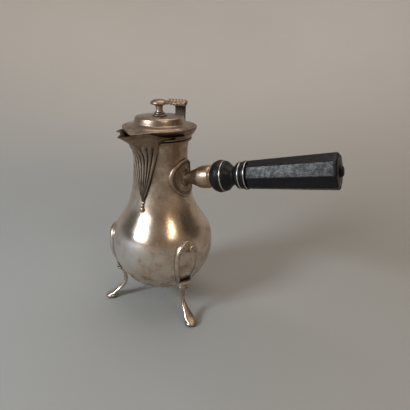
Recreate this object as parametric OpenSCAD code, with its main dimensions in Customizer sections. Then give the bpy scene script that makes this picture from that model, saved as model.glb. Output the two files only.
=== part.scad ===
// Side-handled chocolate pot on three cast legs, with a hinged lid.
// Millimetres. The origin is on the table under the middle of the round body.
// +Z is up, the spout points to -Y, the wooden handle to +X, the lid's hinge is at +Y.

/* [Body] */
// Radius of the round belly at its widest
belly_r = 48; // [44:0.5:50]
// Height of the widest part of the belly above the table
belly_z = 66; // [62:1:70]
// Height of the bottom of the bowl above the table
base_z = 18; // [16:0.5:20]
// How full the bowl is, from nearly conical to nearly square
bowl_fullness = 1.85; // [1.6:0.05:2.2]
// Radius that the neck narrows to, as a share of the rim's
neck_share = 0.765; // [0.745:0.005:0.785]
// How soon the shoulder falls from belly to neck, as a share of its height
shoulder_reach = 0.405; // [0.37:0.005:0.43]
// Height of the rim, where the lid rests
rim_z = 173.4; // [168:0.2:178]
// Thickness of the raised silver sheet
wall = 1.2; // [0.9:0.1:1.4]

/* [Rim and spout] */
// Outer radius of the rim moulding
rim_r = 30.6; // [29.6:0.5:31.6]
// Half angle of the pouring lip, seen from above
lip_half_angle = 78; // [72:1:80]
// How far the lip stands outside the rim at its sides
lip_overhang = 5.2; // [4.6:0.1:6]
// How far the pointed end of the lip runs on beyond its sides
beak_reach = 19; // [17:0.5:20.5]
// How far the end of the lip turns up above the rim
lip_rise = 3; // [2:0.2:4]
// Height where the fluted apron ends in a point
apron_z = 116; // [112:1:120]
// Height of the top of the flutes
flute_top_z = 163; // [160:0.5:165]
// Half angle of the apron at the top of its flutes
apron_half_angle = 31; // [27:1:33]
// Number of flutes
flutes = 7; // [5:2:9]
// Depth of each flute
flute_depth = 1.3; // [0.9:0.1:1.6]

/* [Lid] */
// Overhang of the lid's edge beyond the rim moulding
lid_overhang = 2.2; // [1.9:0.1:2.5]
// Height of the lid's flat top above the rim
lid_rise = 12.6; // [11.6:0.2:13.6]
// Radius of the raised drum in the middle of the lid
drum_r = 21.9; // [21.1:0.2:22.7]
// Distance from the middle of the lid to the tip of its flat beak
beak_tip_r = 43.2; // [41:0.2:44]
// Height of the finial above the lid's top
finial_h = 14; // [12:0.5:16]
// Radius of the finial's mushroom cap
finial_r = 7.8; // [7:0.1:8.6]
// Height of the thumbpiece above the hinge
thumb_h = 18.2; // [16:0.2:20]
// Width of the thumbpiece's shell
thumb_w = 20; // [18:0.5:22]

/* [Handle] */
// Height on the pot's axis that the handle points from
handle_z = 128.5; // [126:0.5:131]
// Upward slope of the handle in degrees
handle_rise = 11; // [9:0.2:13]
// Distance along the handle's axis to its plain end
handle_end = 158.5; // [152:0.5:164]
// Largest radius of the wooden bulb
bulb_r = 13.8; // [13:0.2:14.6]
// Radius over the corners of the grip at its outer end
grip_end_r = 14.4; // [13.2:0.2:15.2]
// Radius over the corners of the grip at its inner end
grip_root_r = 12; // [11.4:0.2:12.6]

/* [Legs] */
// Radius of the circle that the feet stand on
foot_circle_r = 54.5; // [52:0.5:57]
// Radius of each pad foot
foot_r = 5.8; // [5.2:0.1:6.4]
// Half width of each shield at its widest
shield_half_w = 12.4; // [11.6:0.2:13.2]
// Height of the top of each shield
shield_top_z = 83.5; // [81:0.5:86]
// Height of the bottom of each shield
shield_bottom_z = 38; // [36.5:0.5:39.5]

/* [Hidden] */
$fn = 64;
// soldered faces are drawn this far apart
solder_gap = 0.02;
// radial room of the hinge pin in the lid's knuckle
pin_run = 0.05;
// axial room between two knuckles
knuckle_room = 0.2;
// room between the lid's bezel and the inside of the neck
bezel_room = 0.6;

// body outline
neck_end_z = rim_z;
neck_r = rim_r * neck_share;
narrow_z = belly_z + 0.745 * (rim_z - belly_z);
shoulder_power = 3.2;
flare = 2.2;
neck_tube_r = neck_outer(rim_z - 7);
lid_r = rim_r + lid_overhang;
lid_top_z = rim_z + lid_rise;

// hinge
hinge_y = lid_r + 2.7;
hinge_z = rim_z + 1.5;
hinge_pin_r = 0.8;
knuckle_r = 1.9;
lid_knuckle_half = 4.9;
knuckle_end = 10.4;
leaf_t = 1.3;
leaf_reach = 2.4;
flange_h = 4.7;

// legs stand at these bearings, counted from +X
leg_angles = [["left", 210], ["right", 330], ["rear", 90]];

// Sub-part to show

// Outer radius of the bowl below its widest height, for a bowl lifted and narrowed by t
function bowl_angle_point(a, t) =
    [(belly_r - t) * sin(a), belly_z - (belly_z - base_z - t) * pow(cos(a), 2 / bowl_fullness)];

// Outer radius of shoulder and neck at height z
function shoulder_share(z) =
    1 / (1 + pow(max(0, z - belly_z) / (narrow_z - belly_z) / shoulder_reach, shoulder_power));
function neck_flare(z) = flare * pow(max(0, z - narrow_z - 4) / (rim_z - narrow_z - 11), 2);
function neck_outer(z) =
    neck_r + (belly_r - neck_r) * shoulder_share(min(z, rim_z - 7)) + neck_flare(min(z, rim_z - 7));

bowl_steps = 14;
shoulder_steps = 30;
function bowl_side(t) = [for (i = [0:bowl_steps - 1]) bowl_angle_point(90 * i / bowl_steps, t)];
function shoulder_side(t) =
    [for (i = [0:shoulder_steps])
        let (z = belly_z + (rim_z - 7 - belly_z) * i / shoulder_steps)
        [neck_outer(z) - t, z]];
function body_side(t) = concat(bowl_side(t), shoulder_side(t), [[neck_tube_r - t, neck_end_z]]);
function reversed(list) = [for (i = [len(list) - 1:-1:0]) list[i]];

// Everything inside the body's outer skin, grown by t
module envelope(t) {
    rotate_extrude() {
        polygon(concat(body_side(-t), [[0, neck_end_z]]));
    }
}

// Smooth curve through control points: value and slope carried by neighbours
function spline_value(p, i, u) =
    let (
        a = p[max(i - 1, 0)],
        b = p[i],
        c = p[i + 1],
        d = p[min(i + 2, len(p) - 1)]
    )
    0.5 * (
        2 * b + (c - a) * u + (2 * a - 5 * b + 4 * c - d) * u * u
        + (3 * b - a - 3 * c + d) * u * u * u
    );
function smooth_curve(p, steps) =
    concat(
        [for (i = [0:len(p) - 2]) for (j = [0:steps - 1]) spline_value(p, i, j / steps)],
        [p[len(p) - 1]]
    );

module body() {
    color([0.66, 0.62, 0.58])
    difference() {
        rotate_extrude() {
            polygon(concat(body_side(0), reversed(body_side(wall))));
        }
        spout_mouth();
    }
}

// The way cut through the neck behind the spout, open at the rim
mouth_half_w = 11;
mouth_z = 150;
module spout_mouth() {
    translate([-mouth_half_w, -2 * neck_tube_r, mouth_z + mouth_half_w]) {
        cube([2 * mouth_half_w, 2 * neck_tube_r, rim_z]);
    }
    translate([0, 0, mouth_z + mouth_half_w]) {
        rotate([90, 0, 0]) {
            cylinder(h = 2 * neck_tube_r, r = mouth_half_w);
        }
    }
}

// A wedge over the back of the pot, away from the spout
module rear_wedge(half_angle, r, z0, z1) {
    translate([0, 0, z0]) {
        linear_extrude(z1 - z0) {
            polygon(concat([[0, 0]], [for (a = [-half_angle:half_angle / 6:half_angle + 0.01])
                [r * sin(a), r * cos(a)]]));
        }
    }
}

rim_gap_angle = lip_half_angle + 1;
module rim_moulding() {
    r0 = neck_tube_r + solder_gap;
    color([0.66, 0.62, 0.58])
    intersection() {
        rotate_extrude() {
            polygon([
                [r0, rim_z - 6.2], [r0 + 1.3, rim_z - 6], [r0 + 2.1, rim_z - 5.2], [r0 + 1.9, rim_z - 4.4],
                [r0 + 2.5, rim_z - 3.4], [rim_r - 1.3, rim_z - 2.5], [rim_r - 0.3, rim_z - 1.9],
                [rim_r, rim_z - 1.2], [rim_r - 0.2, rim_z - 0.4], [rim_r - 0.9, rim_z], [r0, rim_z]
            ]);
        }
        rear_wedge(180 - rim_gap_angle, 2 * rim_r, rim_z - 10, rim_z + 1);
    }
}

module neck_bead() {
    color([0.66, 0.62, 0.58])
    difference() {
        rotate_extrude() {
            polygon([for (a = [0:30:330])
                [neck_outer(rim_z - 7.6) + 0.9 + 1.1 * cos(a), rim_z - 7.5 + 1.1 * sin(a)]]);
        }
        envelope(solder_gap);
        rotate([0, 0, 180]) {
            rear_wedge(rim_gap_angle, 2 * rim_r, rim_z - 12, rim_z);
        }
    }
}

// Pouring spout: a fluted apron on the neck that opens into a wide, pointed lip
lip_wall = 1.4;
lip_top_z = rim_z - 0.4;
apron_t = 1.3;
apron_levels = 16;
funnel_levels = 12;
spout_columns = flutes * 6;
function spout_level(j) =
    j <= apron_levels
        ? apron_z + (flute_top_z - apron_z) * j / apron_levels
        : flute_top_z + (lip_top_z - flute_top_z) * (j - apron_levels) / funnel_levels;
function spout_half_angle(z) =
    z < flute_top_z
        ? apron_half_angle * pow(max(0.03, (z - apron_z) / (flute_top_z - apron_z)), 0.85)
        : apron_half_angle
            + (lip_half_angle - apron_half_angle) * pow((z - flute_top_z) / (lip_top_z - flute_top_z), 0.9);
// Plan of the lip's edge: nearly round at the sides, pointed in front
beak_spread = 9.3;
beak_blunt = 1.2;
function lip_edge(a) =
    lid_r - 0.4 + lip_overhang * (1 - pow(min(1, abs(a) / lip_half_angle), 4))
    + beak_reach * exp((beak_blunt - sqrt(a * a + beak_blunt * beak_blunt)) / beak_spread);
// Height where the skin at bearing a starts to lean away from the neck
function lean_z(a) =
    abs(a) < apron_half_angle
        ? flute_top_z - 8 * (1 - abs(a) / apron_half_angle)
        : flute_top_z
            + (lip_top_z - flute_top_z)
            * pow((abs(a) - apron_half_angle) / (lip_half_angle - apron_half_angle), 1 / 0.9);
function lean_share(a, z) =
    let (room = max(0.6, lip_top_z - lean_z(a)))
    pow(min(1, max(0, (z - lean_z(a)) / room)), 1.5);
function flute_swell(u, z) =
    let (
        across = 2 * abs((u + 1) * flutes / 2 - floor((u + 1) * flutes / 2) - 0.5),
        fade = min(1, max(0, (flute_top_z - z + 2.4 * (1 - across * across)) / 2.6)),
        lobe = sqrt(max(0, 1 - 0.92 * across * across))
    )
    flute_depth * lobe * fade * min(1, (z - apron_z + 6) / 12);
function lip_lift(a, z) =
    lip_rise * exp(-a * a / 900) * pow(max(0, z - flute_top_z) / (lip_top_z - flute_top_z), 2);
function edge_roll(z) = z > lip_top_z - 1 ? 0.5 : 0;
function spout_outer_r(u, z) =
    let (a = u * spout_half_angle(z), base = neck_outer(z) + apron_t)
    base + flute_swell(u, z) + (lip_edge(a) - base) * lean_share(a, z) + edge_roll(z) * lean_share(a, z);
function spout_inner_r(u, z) =
    let (a = u * spout_half_angle(z))
    max(neck_outer(z) + solder_gap, spout_outer_r(u, z) - lip_wall - flute_swell(u, z) - edge_roll(z));
function spout_point(u, z, inner) =
    let (
        a = u * spout_half_angle(z),
        r = inner ? spout_inner_r(u, z) : spout_outer_r(u, z)
    )
    [r * sin(a), -r * cos(a), z + lip_lift(a, z)];

module spout() {
    levels = apron_levels + funnel_levels;
    points = [
        for (inner = [false, true])
            for (j = [0:levels])
                for (i = [0:spout_columns])
                    spout_point(2 * i / spout_columns - 1, spout_level(j), inner)
    ];
    color([0.66, 0.62, 0.58])
    polyhedron(points, grid_faces(spout_columns, levels), convexity = 6);
}

// Two beads and a drop below the point of the apron
pendant = [[-1.9, 1.35], [-4.3, 1.2], [-7.6, 2.1]];
pendant_slope = 160;
module spout_pendant() {
    color([0.66, 0.62, 0.58])
    difference() {
        union() {
            for (bead = pendant) {
                translate([0, -neck_outer(apron_z + bead[0]) - 0.3 * bead[1], apron_z + bead[0]]) {
                    sphere(r = bead[1]);
                }
            }
            for (i = [0:1]) {
                translate([0, -neck_outer(apron_z + pendant[i][0]) - 0.2, apron_z + pendant[i][0]]) {
                    rotate([pendant_slope, 0, 0]) {
                        cylinder(h = pendant[i][0] - pendant[i + 1][0], r = 0.8);
                    }
                }
            }
        }
        envelope(solder_gap);
    }
}

// Cast shields that carry the legs: an egg-shaped frame round a smooth panel, with a shell at the top
shield_t = 2.8;
shield_panel_t = 1.2;
shield_edge_t = 0.9;
shield_rim_w = 3.4;
shield_h = shield_top_z - shield_bottom_z;
shell_lobes = 7;
shell_r = 8.4;
shell_drop = 9;
shield_columns = 26;
shield_rows = 22;
// Half width from bottom to top: share of half width, share of height
shield_edge = [
    [0.50, 0], [0.57, 0.08], [0.71, 0.20], [0.90, 0.36], [1.00, 0.52],
    [0.98, 0.65], [0.88, 0.78], [0.70, 0.88], [0.48, 0.95], [0.24, 1]
];
function curve_at(p, y, i = 0) =
    i >= len(p) - 2 || y <= p[i + 1][1]
        ? spline_value(p, i, min(1, max(0, (y - p[i][1]) / (p[i + 1][1] - p[i][1]))))[0]
        : curve_at(p, y, i + 1);
function body_outer(z) =
    z >= belly_z
        ? neck_outer(z)
        : belly_r * sqrt(1 - pow((belly_z - z) / (belly_z - base_z), bowl_fullness));
function frame_swell(d) = d < shield_rim_w ? pow(sin(180 * d / shield_rim_w), 0.8) : 0;
// Thickness over the body at share u of the half width and share v of the height
function shield_thick(u, v) =
    let (
        half = shield_half_w * curve_at(shield_edge, v),
        x = abs(u) * half,
        edge = min((half - x) * 0.94, v * shield_h + 0.4, (1 - v) * shield_h + 0.9),
        up = shell_drop - (1 - v) * shield_h,
        shell = sqrt(x * x + up * up),
        lobe = abs(cos(shell_lobes * atan2(x, max(up, 0.1)))),
        fan = up > -1 && shell < shell_r ? min(1, (shell_r - shell) / 1.4) * min(1, up + 1) : 0
    )
    shield_edge_t + (shield_panel_t - shield_edge_t) * min(1, edge / 2)
    + (shield_t - shield_panel_t) * frame_swell(edge)
    + (0.7 + 0.7 * lobe) * (1 - 0.7 * frame_swell(edge)) * fan;
function shield_point(u, v, front) =
    let (
        z = shield_bottom_z + v * shield_h,
        x = u * shield_half_w * curve_at(shield_edge, v),
        r = body_outer(z) + (front ? shield_thick(u, v) : solder_gap)
    )
    [x, -sqrt(r * r - x * x), z];

// Closed skin over a grid of points given for its front and then for its back
function grid_faces(columns, rows) =
    let (wide = columns + 1, skin = wide * (rows + 1))
    concat(
        [for (j = [0:rows - 1]) for (i = [0:columns - 1])
            let (k = j * wide + i)
            each [
                [k, k + wide, k + 1], [k + 1, k + wide, k + wide + 1],
                [skin + k, skin + k + 1, skin + k + wide],
                [skin + k + 1, skin + k + wide + 1, skin + k + wide]
            ]],
        [for (i = [0:columns - 1])
            let (k = rows * wide + i)
            each [
                [i, i + 1, skin + i], [i + 1, skin + i + 1, skin + i],
                [k, skin + k, k + 1], [k + 1, skin + k, skin + k + 1]
            ]],
        [for (j = [0:rows - 1])
            let (k = j * wide, m = j * wide + columns)
            each [
                [k, skin + k, k + wide], [skin + k, skin + k + wide, k + wide],
                [m, m + wide, skin + m], [m + wide, skin + m + wide, skin + m]
            ]]
    );

// Drawn facing -Y
module shield_shape() {
    points = [
        for (front = [true, false])
            for (j = [0:shield_rows])
                for (i = [0:shield_columns])
                    shield_point(2 * i / shield_columns - 1, j / shield_rows, front)
    ];
    polyhedron(points, grid_faces(shield_columns, shield_rows), convexity = 6);
}

// Cabriole leg facing -Y: distance from the axis, height, half width, half thickness
leg_path = [
    [belly_r - 3.4, shield_bottom_z + 4.6, 5.8, 1.8],
    [belly_r - 4.1, shield_bottom_z + 1.5, 5.5, 2.4],
    [belly_r - 6.2, shield_bottom_z - 2.8, 3.5, 2.4],
    [belly_r - 7.8, shield_bottom_z - 7.6, 2.1, 2.1],
    [belly_r - 8.8, shield_bottom_z - 12.5, 1.7, 2.0],
    [belly_r - 9, shield_bottom_z - 17.2, 1.8, 2.0],
    [belly_r - 7.6, shield_bottom_z - 21.6, 2.2, 2.1],
    [belly_r - 4.4, shield_bottom_z - 25.7, 3.0, 2.2],
    [belly_r, 8.6, 4.0, 2.3],
    [foot_circle_r - 2.6, 5.4, 5.0, 2.3],
    [foot_circle_r + 2.4, 3.5, 4.2, 1.8]
];
leg_sides = 16;
module leg_sweep() {
    path = smooth_curve(leg_path, 3);
    n = len(path);
    points = [
        for (i = [0:n - 1])
            let (
                a = path[max(i - 1, 0)],
                b = path[min(i + 1, n - 1)],
                slope = atan2(b[1] - a[1], b[0] - a[0])
            )
            for (k = [0:leg_sides - 1])
                let (
                    q = 360 * k / leg_sides,
                    out = path[i][3] * sin(q)
                )
                [path[i][2] * cos(q), -(path[i][0] - out * sin(slope)), path[i][1] + out * cos(slope)]
    ];
    skin = [
        for (i = [0:n - 2])
            for (k = [0:leg_sides - 1])
                let (m = (k + 1) % leg_sides)
                each [
                    [i * leg_sides + k, (i + 1) * leg_sides + k, i * leg_sides + m],
                    [i * leg_sides + m, (i + 1) * leg_sides + k, (i + 1) * leg_sides + m]
                ]
    ];
    caps = [
        [for (k = [0:leg_sides - 1]) k],
        [for (k = [leg_sides - 1:-1:0]) (n - 1) * leg_sides + k]
    ];
    polyhedron(points, concat(skin, caps), convexity = 4);
}

module leg_shape() {
    difference() {
        union() {
            leg_sweep();
            translate([0, -foot_circle_r, 0]) {
                rotate_extrude() {
                    polygon([
                        [0, 0], [foot_r - 1.5, 0], [foot_r - 0.4, 1.1], [foot_r, 2.4],
                        [foot_r - 0.6, 3.7], [foot_r - 2.4, 4.9], [0, 5.4]
                    ]);
                }
            }
        }
        envelope(solder_gap);
        intersection() {
            envelope(shield_t + solder_gap);
            translate([-belly_r, -2 * belly_r, shield_bottom_z - solder_gap]) {
                cube([2 * belly_r, 2 * belly_r, shield_h]);
            }
        }
    }
}

module leg_place(angle) {
    rotate([0, 0, angle + 90]) {
        children();
    }
}

module shield_left() {
    color([0.66, 0.62, 0.58]) leg_place(leg_angles[0][1]) shield_shape();
}
module shield_right_side() {
    color([0.66, 0.62, 0.58]) leg_place(leg_angles[1][1]) shield_shape();
}
module shield_rear() {
    color([0.66, 0.62, 0.58]) leg_place(leg_angles[2][1]) shield_shape();
}
module leg_left() {
    color([0.66, 0.62, 0.58]) leg_place(leg_angles[0][1]) leg_shape();
}
module leg_right() {
    color([0.66, 0.62, 0.58]) leg_place(leg_angles[1][1]) leg_shape();
}
module leg_rear() {
    color([0.66, 0.62, 0.58]) leg_place(leg_angles[2][1]) leg_shape();
}

// Along the handle, distances are counted on its own axis from the pot's axis
module handle_place() {
    translate([0, 0, handle_z]) {
        rotate([0, 90 - handle_rise, 0]) {
            children();
        }
    }
}

root_s = neck_outer(handle_z + 6) / cos(handle_rise) + 1.2;
socket_end = root_s + 28.5;
socket_r = 10;
socket_root_r = 5.1;
tenon_r = 6.4;
tenon_start = socket_end - 14;
fit_room = 0.03;

// Round plate soldered round the socket's root and curved to the neck: outer radius, inner radius
// and thickness over the neck of each of its steps, which make up a bead and a finer inner ring
plate_r = 16.8;
plate_z = handle_z + neck_outer(handle_z) * tan(handle_rise);
plate_steps = [
    [plate_r - 2, socket_root_r, 0.8], [plate_r, plate_r - 2.9, 1.0], [plate_r - 0.4, plate_r - 2.5, 1.5],
    [plate_r - 0.9, plate_r - 2, 1.8], [plate_r - 4.2, plate_r - 5.4, 1.3]
];
module neck_sleeve(t) {
    levels = 16;
    span = 2 * plate_r + 2;
    heights = [for (i = [0:levels]) plate_z + span * (i / levels - 0.5)];
    rotate_extrude() {
        polygon(concat(
            [for (z = heights) [neck_outer(z) + t, z]],
            [for (z = reversed(heights)) [neck_outer(z) + solder_gap, z]]
        ));
    }
}
module handle_escutcheon() {
    color([0.66, 0.62, 0.58])
    difference() {
        union() {
            for (step = plate_steps) {
                intersection() {
                    neck_sleeve(step[2]);
                    translate([0, 0, plate_z]) {
                        rotate([0, 90, 0]) {
                            difference() {
                                cylinder(h = 2 * rim_r, r = step[0]);
                                translate([0, 0, -1]) {
                                    cylinder(h = 3 * rim_r, r = step[1] - 0.4);
                                }
                            }
                        }
                    }
                }
            }
        }
        handle_place() {
            cylinder(h = 2 * rim_r, r = socket_root_r + fit_room);
        }
    }
}

socket_outline = [
    [socket_root_r, root_s + 0.4], [socket_root_r + 0.2, root_s + 3.2], [6.8, root_s + 9],
    [socket_r - 0.7, root_s + 15], [socket_r - 0.1, root_s + 18.4], [socket_r, root_s + 22],
    [socket_r - 0.3, socket_end - 3.4], [socket_r - 0.8, socket_end - 2]
];
module handle_socket() {
    color([0.66, 0.62, 0.58])
    difference() {
        handle_place() {
            difference() {
                rotate_extrude() {
                    polygon(concat(
                        [[0, root_s - 6], [socket_root_r, root_s - 6]],
                        smooth_curve(socket_outline, 3),
                        [
                            [socket_r - 0.5, socket_end - 1.6], [socket_r - 0.2, socket_end - 1],
                            [socket_r - 0.5, socket_end - 0.3], [socket_r - 0.8, socket_end],
                            [0, socket_end]
                        ]
                    ));
                }
                translate([0, 0, tenon_start - 0.4]) {
                    cylinder(h = socket_end, r = tenon_r + fit_room);
                }
                cross_hole(fit_room);
            }
        }
        envelope(solder_gap);
    }
}

// Rivet through socket and tenon
rivet_r = 0.9;
rivet_s = socket_end - 6.6;
rivet_half = socket_r - 1.1;
module cross_hole(room) {
    translate([0, 0, rivet_s]) {
        rotate([90, 0, 0]) {
            cylinder(h = 4 * rivet_half, r = rivet_r + room, center = true);
        }
    }
}
module handle_pin() {
    color([0.6, 0.56, 0.52])
    handle_place() {
        translate([0, 0, rivet_s]) {
            rotate([90, 0, 0]) {
                cylinder(h = 2 * rivet_half, r = rivet_r, center = true);
            }
        }
    }
}

// The wooden part, turned up to the collar and then cut to eight flats
bulb_s = socket_end + 6.5;
neck_s = socket_end + 18.7;
collar_s = socket_end + 29.7;
collar_r = 12;
waist_r = 7.8;
grip_s = collar_s + 2.6;
nub_h = 2.6;
nub_r = 4.2;
turned_outline = [
    [8.6, socket_end + fit_room], [11.4, socket_end + 1], [bulb_r - 0.9, socket_end + 3.2], [bulb_r, bulb_s],
    [bulb_r - 0.4, bulb_s + 2.6], [bulb_r - 0.9, bulb_s + 4.4], [bulb_r - 1.6, bulb_s + 6.4],
    [bulb_r - 3.4, bulb_s + 8.4], [waist_r + 1, neck_s - 1.8], [waist_r, neck_s],
    [waist_r + 0.2, neck_s + 1.5], [collar_r - 1.5, collar_s - 7], [collar_r - 0.7, collar_s - 5.2],
    [collar_r - 0.8, collar_s - 3.6], [collar_r - 1.4, collar_s - 2.3], [collar_r - 0.3, collar_s - 1],
    [collar_r, collar_s + 0.2], [collar_r - 0.2, collar_s + 1.8], [collar_r - 1.4, grip_s]
];
inlay_depth = 0.7;
inlay_half = 0.45;
inlay_places = [bulb_s + 4, collar_s - 3.9, collar_s + 1.5];
inlay_radii = [bulb_r - 0.8, collar_r - 0.75, collar_r - 0.15];
module inlay_groove(i) {
    translate([0, 0, inlay_places[i] - inlay_half]) {
        difference() {
            cylinder(h = 2 * inlay_half, r = 2 * bulb_r);
            translate([0, 0, -1]) {
                cylinder(h = 4, r = inlay_radii[i] - inlay_depth);
            }
        }
    }
}
module inlay(i) {
    color([0.8, 0.79, 0.76])
    handle_place() {
        translate([0, 0, inlay_places[i] - inlay_half + solder_gap]) {
            difference() {
                cylinder(h = 2 * (inlay_half - solder_gap), r = inlay_radii[i] + 0.12);
                translate([0, 0, -1]) {
                    cylinder(h = 4, r = inlay_radii[i] - inlay_depth + solder_gap);
                }
            }
        }
    }
}
module inlay_bulb() {
    inlay(0);
}
module inlay_collar_inner() {
    inlay(1);
}
module inlay_collar_outer() {
    inlay(2);
}

module handle_grip() {
    edge = 1.8;
    flats_s = grip_s + 1.4;
    color([0.05, 0.05, 0.06])
    handle_place() {
        difference() {
            union() {
                rotate_extrude() {
                    polygon(concat(
                        [[0, tenon_start], [tenon_r, tenon_start], [tenon_r, socket_end + fit_room]],
                        smooth_curve(turned_outline, 2),
                        [[0, grip_s]]
                    ));
                }
                translate([0, 0, flats_s - 2]) {
                    cylinder(h = 2, r1 = grip_root_r - 2, r2 = grip_root_r, $fn = 8);
                }
                translate([0, 0, flats_s]) {
                    cylinder(h = handle_end - edge - flats_s, r1 = grip_root_r, r2 = grip_end_r, $fn = 8);
                }
                translate([0, 0, handle_end - edge]) {
                    cylinder(h = edge, r1 = grip_end_r, r2 = grip_end_r - 2.6, $fn = 8);
                }
                translate([0, 0, handle_end]) {
                    rotate_extrude() {
                        polygon([
                            [0, -1], [nub_r, -1], [nub_r, nub_h - 1.4], [nub_r - 0.6, nub_h - 0.5],
                            [nub_r - 1.8, nub_h - 0.1], [0, nub_h]
                        ]);
                    }
                }
            }
            for (i = [0:2]) {
                inlay_groove(i);
            }
            cross_hole(fit_room);
        }
    }
}

// Hinge behind the rim
module hinge_bracket() {
    base_top = hinge_z - knuckle_r - 0.4;
    base_bottom = rim_z - 3.4;
    color([0.62, 0.58, 0.54])
    difference() {
        union() {
            translate([-knuckle_end, 0, base_bottom]) {
                cube([2 * knuckle_end, hinge_y + 1.6, base_top - base_bottom]);
            }
            for (side = [-1, 1]) {
                translate([side > 0 ? lid_knuckle_half + knuckle_room : -knuckle_end, hinge_y, hinge_z]) {
                    rotate([0, 90, 0]) {
                        cylinder(h = knuckle_end - lid_knuckle_half - knuckle_room, r = knuckle_r);
                    }
                    translate([0, -1.2, base_bottom - hinge_z]) {
                        cube([knuckle_end - lid_knuckle_half - knuckle_room, 2.6, hinge_z - base_bottom]);
                    }
                }
            }
        }
        translate([0, 0, base_bottom - 1]) {
            cylinder(h = knuckle_r * 6, r = rim_r + solder_gap);
        }
        translate([-2 * knuckle_end, hinge_y, hinge_z]) {
            rotate([0, 90, 0]) {
                cylinder(h = 4 * knuckle_end, r = hinge_pin_r + solder_gap);
            }
        }
    }
}

module hinge_pin() {
    color([0.55, 0.5, 0.46])
    translate([-knuckle_end - 0.4, hinge_y, hinge_z]) {
        rotate([0, 90, 0]) {
            cylinder(h = 2 * knuckle_end + 0.8, r = hinge_pin_r);
        }
    }
}

leaf_z = rim_z + flange_h + solder_gap;
module hinge_lid_leaf() {
    color([0.62, 0.58, 0.54])
    difference() {
        union() {
            translate([-lid_knuckle_half, lid_r - leaf_reach, leaf_z]) {
                cube([2 * lid_knuckle_half, hinge_y + 1.2 - lid_r + leaf_reach, leaf_t]);
            }
            translate([-lid_knuckle_half, hinge_y - 1.3, hinge_z]) {
                cube([2 * lid_knuckle_half, 2.5, leaf_z - hinge_z + 0.5]);
            }
            translate([-lid_knuckle_half, hinge_y, hinge_z]) {
                rotate([0, 90, 0]) {
                    cylinder(h = 2 * lid_knuckle_half, r = knuckle_r);
                }
            }
        }
        translate([-2 * knuckle_end, hinge_y, hinge_z]) {
            rotate([0, 90, 0]) {
                cylinder(h = 4 * knuckle_end, r = hinge_pin_r + pin_run);
            }
        }
    }
}

// Lid, in one piece with its flat pointed beak
bezel_r = neck_tube_r - wall - bezel_room;
lid_inner_r = bezel_r + solder_gap;
finial_hole_r = 1.6;
module lid() {
    tangent = acos(lid_r / beak_tip_r);
    slope_r = (drum_r + lid_r) / 2 - 2;
    top = [
        [lid_r - 1.6, rim_z], [lid_r - 0.9, rim_z + 0.9], [lid_r - 0.5, rim_z + 2], [lid_r - 0.1, rim_z + 3],
        [lid_r, rim_z + 3.9], [lid_r - 0.4, rim_z + 4.5], [lid_r - 1.2, rim_z + flange_h],
        [lid_r - 2.2, rim_z + 4.6], [lid_r - 2.9, rim_z + 4.3], [lid_r - 3.3, rim_z + 4.7],
        [lid_r - 3.8, rim_z + 5.2], [lid_r - 4.5, rim_z + 5.4], [slope_r, rim_z + 5.8],
        [drum_r + 1.2, rim_z + 6.3], [drum_r + 0.4, rim_z + 7], [drum_r, rim_z + 8.2],
        [drum_r - 0.1, lid_top_z - 2.1], [drum_r - 0.5, lid_top_z - 1.2], [drum_r - 1.3, lid_top_z - 0.6],
        [drum_r - 2.4, lid_top_z - 0.35], [12, lid_top_z - 0.1], [finial_hole_r, lid_top_z]
    ];
    inside = [
        [finial_hole_r, lid_top_z - 1.4], [12, lid_top_z - 1.5], [drum_r - 3, lid_top_z - 1.7],
        [drum_r - 1.5, lid_top_z - 2.6], [drum_r - 1.3, rim_z + 5.4], [lid_inner_r - 1.4, rim_z + 4],
        [lid_inner_r, rim_z + 3.8], [lid_inner_r, rim_z + 0.9], [lid_inner_r + 0.9, rim_z]
    ];
    color([0.66, 0.62, 0.58])
    union() {
        rotate_extrude() {
            polygon(concat(top, inside));
        }
        translate([0, 0, rim_z + 0.7]) {
            linear_extrude(2.1) {
                difference() {
                    polygon([
                        [0, 0], [-lid_r * sin(tangent), -lid_r * cos(tangent)],
                        [-0.7, 0.7 - beak_tip_r], [0.7, 0.7 - beak_tip_r],
                        [lid_r * sin(tangent), -lid_r * cos(tangent)]
                    ]);
                    circle(r = lid_r - 1.6);
                }
            }
        }
    }
}

bezel_h = 6.1;
module lid_bezel() {
    color([0.66, 0.62, 0.58])
    translate([0, 0, rim_z - 2.4]) {
        difference() {
            cylinder(h = bezel_h, r = bezel_r);
            translate([0, 0, -1]) {
                cylinder(h = bezel_h + 2, r = bezel_r - 1.1);
            }
        }
    }
}

finial_z = lid_top_z + solder_gap;
module finial() {
    h = finial_h;
    color([0.66, 0.62, 0.58])
    translate([0, 0, finial_z]) {
        rotate_extrude() {
            polygon([
                [0, -5.4], [finial_hole_r - fit_room, -5.4], [finial_hole_r - fit_room, 0],
                [6, 0], [6.3, 0.7], [5.3, 1.3], [4.3, 1.6], [4.7, 2.3], [4.2, 3], [3.2, 3.5],
                [2.9, 4.8], [2.9, h - 6.8], [3.4, h - 5.6], [4.6, h - 4.9], [finial_r - 0.5, h - 4.3],
                [finial_r, h - 3.5], [finial_r - 0.2, h - 2.6], [finial_r - 1.2, h - 1.4],
                [finial_r - 3.2, h - 0.5], [finial_r - 5.4, h - 0.1], [0, h]
            ]);
        }
    }
}

module finial_nut() {
    color([0.6, 0.56, 0.52])
    translate([0, 0, lid_top_z - 1.4 - solder_gap - 2.4]) {
        difference() {
            cylinder(h = 2.3, r = 4.4, $fn = 6);
            translate([0, 0, -1]) {
                cylinder(h = 5, r = finial_hole_r);
            }
        }
    }
}

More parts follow.
